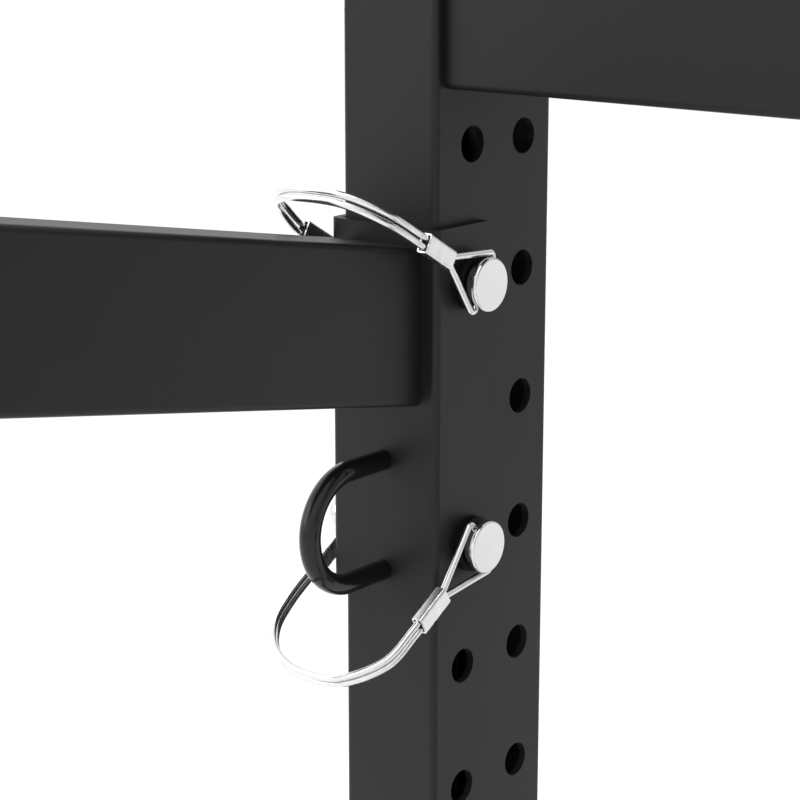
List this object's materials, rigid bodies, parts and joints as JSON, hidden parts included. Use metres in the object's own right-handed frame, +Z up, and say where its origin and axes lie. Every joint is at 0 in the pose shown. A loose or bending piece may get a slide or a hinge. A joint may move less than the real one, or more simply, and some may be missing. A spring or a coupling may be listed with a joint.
{
  "type": "power cage",
  "caption": "Four-post lifting cage with a middle crossmember, rising spotter arms held by lanyard lock pins, band rings, bar hooks and lift-up safety bars.",
  "frame": {"origin": "on the floor, under the middle of the outline that the feet and spotter arms cover", "axes": "+Z up, -Y towards the side with the spotter arms, X across the cage from left to right"},
  "size_m": [1.28, 1.5296, 2.115],
  "materials": {
    "frame_paint": "satin black powder coat",
    "pin_steel": "polished",
    "cable_steel": "glossy wire rope under a clear coat",
    "bolt_steel": "zinc plated",
    "cap_plastic": "moulded black",
    "liner_plastic": "machined black polyethylene",
    "rubber": "matt black rubber"
  },
  "bodies": {
    "frame": {"upright_front_left": "frame_paint", "upright_front_right": "frame_paint", "upright_rear_left": "frame_paint", "upright_rear_right": "frame_paint", "foot_plates": "frame_paint", "foot_pads": "rubber", "upright_caps": "cap_plastic", "base_rail_left": "frame_paint", "base_rail_right": "frame_paint", "top_rail_left": "frame_paint", "top_rail_right": "frame_paint", "base_crossmember": "frame_paint", "mid_crossmember": "frame_paint", "top_crossmember": "frame_paint", "pull_up_bar": "frame_paint", "crossmember_plates": "frame_paint", "rail_plates": "frame_paint", "pull_up_flanges": "frame_paint", "crossmember_bolts": "bolt_steel", "rail_bolts": "bolt_steel", "frame_washers": "bolt_steel", "arm_bracket_left": "frame_paint", "arm_bracket_right": "frame_paint", "spotter_arm_left": "frame_paint", "spotter_arm_right": "frame_paint", "arm_caps": "cap_plastic", "band_ring_left": "frame_paint", "band_ring_right": "frame_paint", "pin_collars": "frame_paint", "safety_pins": "pin_steel"},
    "upper_pin_left": {"upper_pin_left": "pin_steel", "upper_cable_left": "cable_steel", "upper_bails_left": "pin_steel", "upper_ferrules_left": "pin_steel"},
    "lower_pin_left": {"lower_pin_left": "pin_steel", "lower_cable_left": "cable_steel", "lower_bails_left": "pin_steel", "lower_ferrules_left": "pin_steel"},
    "upper_pin_right": {"upper_pin_right": "pin_steel", "upper_cable_right": "cable_steel", "upper_bails_right": "pin_steel", "upper_ferrules_right": "pin_steel"},
    "lower_pin_right": {"lower_pin_right": "pin_steel", "lower_cable_right": "cable_steel", "lower_bails_right": "pin_steel", "lower_ferrules_right": "pin_steel"},
    "bar_hook_left": {"hook_left": "frame_paint", "hook_liner_left": "liner_plastic", "hook_peg_left": "pin_steel"},
    "bar_hook_right": {"hook_right": "frame_paint", "hook_liner_right": "liner_plastic", "hook_peg_right": "pin_steel"},
    "safety_left": {"safety_bar_left": "frame_paint", "safety_cheeks_left": "frame_paint", "safety_liner_left": "liner_plastic"},
    "safety_right": {"safety_bar_right": "frame_paint", "safety_cheeks_right": "frame_paint", "safety_liner_right": "liner_plastic"}
  },
  "joints": [
    {"name": "upper_pin_turn_left", "type": "hinge", "parent": "frame", "child": "upper_pin_left", "pos_m": [-0.578, -0.18757, 1], "axis": [-1, 0, 0], "range_deg": [-7, 36]},
    {"name": "lower_pin_turn_left", "type": "hinge", "parent": "frame", "child": "lower_pin_left", "pos_m": [-0.578, -0.18757, 0.9], "axis": [-1, 0, 0], "range_deg": [-38, 54]},
    {"name": "upper_pin_turn_right", "type": "hinge", "parent": "frame", "child": "upper_pin_right", "pos_m": [0.578, -0.18757, 1], "axis": [-1, 0, 0], "range_deg": [-7, 36]},
    {"name": "lower_pin_turn_right", "type": "hinge", "parent": "frame", "child": "lower_pin_right", "pos_m": [0.578, -0.18757, 0.9], "axis": [-1, 0, 0], "range_deg": [-38, 54]},
    {"name": "bar_hook_tilt_left", "type": "hinge", "parent": "frame", "child": "bar_hook_left", "pos_m": [-0.578, -0.18757, 1.45], "axis": [-1, 0, 0], "range_deg": [0, 90]},
    {"name": "bar_hook_tilt_right", "type": "hinge", "parent": "frame", "child": "bar_hook_right", "pos_m": [0.578, -0.18757, 1.45], "axis": [-1, 0, 0], "range_deg": [0, 90]},
    {"name": "safety_lift_left", "type": "hinge", "parent": "frame", "child": "safety_left", "pos_m": [-0.578, 0.68243, 0.6], "axis": [-1, 0, 0], "range_deg": [0, 50]},
    {"name": "safety_lift_right", "type": "hinge", "parent": "frame", "child": "safety_right", "pos_m": [0.578, 0.68243, 0.6], "axis": [-1, 0, 0], "range_deg": [0, 50]}
  ]
}
